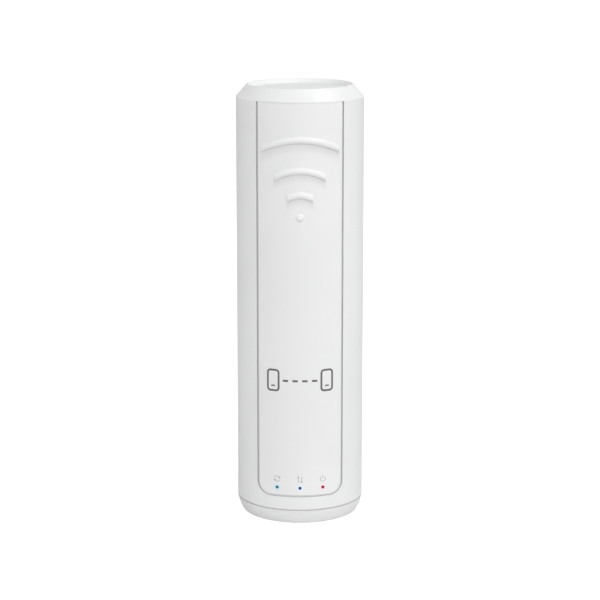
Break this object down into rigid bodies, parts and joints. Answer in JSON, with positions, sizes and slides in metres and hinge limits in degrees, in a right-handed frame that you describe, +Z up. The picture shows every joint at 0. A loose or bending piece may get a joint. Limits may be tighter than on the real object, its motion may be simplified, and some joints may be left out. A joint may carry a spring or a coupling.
{
  "type": "outdoor wireless bridge",
  "caption": "Round upright outdoor wireless bridge with chamfered dished top, grooved front panel with raised signal arcs, indicator row, pull-off base cap and rear pole saddles.",
  "frame": {"origin": "centre of the flat base, on the axis of the round housing", "axes": "+Z up along the housing axis, front panel faces -Y, pole saddles face +Y, +X to the right of the front view's viewer"},
  "size_m": [0.076, 0.089, 0.2603],
  "materials": {
    "housing": "satin, fine moulded grain",
    "panel": "satin, fine moulded grain",
    "cap": "satin, fine moulded grain",
    "gasket": "matt silicone",
    "seal_rubber": "matt",
    "indicator_cyan": "clear tinted",
    "indicator_blue": "clear tinted",
    "indicator_red": "clear tinted",
    "bay": "matt",
    "screw_steel": "zinc plated",
    "jack_shell": "glass filled, matt",
    "gold_contacts": "gold plated",
    "black_plastic": "matt",
    "button_plastic": "satin",
    "switch_steel": "plated",
    "circuit_board": "solder mask",
    "ferrite": "matt",
    "chip_epoxy": "matt moulded",
    "shield_steel": "tin plated",
    "thermal_rubber": "soft",
    "heat_sink_aluminium": "anodised",
    "capacitor_can": "sleeved top",
    "led_white": "clear lens",
    "reflector_aluminium": "mill finish",
    "brass_hardware": "turned",
    "antenna_board": "laminate",
    "patch_metal": "tin plated",
    "nylon": "natural nylon",
    "coax_jacket": "matt jacket"
  },
  "bodies": {
    "bottom_cap": {"bottom_cap": "cap", "bottom_cap_o_ring": "seal_rubber", "cable_grommet": "seal_rubber"},
    "housing": {"body_shell": "housing", "front_panel": "panel", "front_panel_gasket": "gasket", "light_pipe_left": "indicator_cyan", "light_pipe_middle": "indicator_blue", "light_pipe_right": "indicator_red", "port_bay": "bay", "port_bay_screws": "screw_steel", "network_jack_poe": "jack_shell", "network_jack_lan": "jack_shell", "network_jack_contacts": "gold_contacts", "dc_jack": "black_plastic", "dc_jack_pin": "gold_contacts", "reset_switch_body": "black_plastic", "mode_switch_body": "switch_steel", "main_board": "circuit_board", "ethernet_transformers": "black_plastic", "power_inductors": "ferrite", "power_chips": "chip_epoxy", "processor_chip": "chip_epoxy", "memory_chips": "chip_epoxy", "radio_chips": "chip_epoxy", "crystal": "switch_steel", "processor_shield": "shield_steel", "radio_shield": "shield_steel", "thermal_pad": "thermal_rubber", "heat_sink": "heat_sink_aluminium", "electrolytic_capacitors": "capacitor_can", "status_leds": "led_white", "antenna_reflector": "reflector_aluminium", "antenna_spacers": "brass_hardware", "antenna_screws": "screw_steel", "antenna_nuts": "screw_steel", "antenna_feed_board": "antenna_board", "antenna_patches": "patch_metal", "patch_standoffs": "nylon", "patch_feed_pins": "gold_contacts", "coax_connectors": "gold_contacts", "coax_pigtail_left": "coax_jacket", "coax_pigtail_right": "coax_jacket"},
    "reset_button": {"reset_button": "button_plastic"},
    "mode_switch": {"mode_switch_slider": "black_plastic"},
    "port_plug": {"network_port_plug": "seal_rubber"}
  },
  "joints": [
    {"name": "housing_lift", "type": "slide", "parent": "bottom_cap", "child": "housing", "axis": [0, 0, 1], "range_m": [0, 0.045]},
    {"name": "reset_press", "type": "slide", "parent": "housing", "child": "reset_button", "axis": [0, 0, 1], "range_m": [0, 0.0006], "stiffness_N_per_m": 1500},
    {"name": "mode_slide", "type": "slide", "parent": "housing", "child": "mode_switch", "axis": [1, 0, 0], "range_m": [0, 0.002]},
    {"name": "port_plug_pull", "type": "slide", "parent": "housing", "child": "port_plug", "axis": [0, 0, -1], "range_m": [0, 0.012]}
  ]
}
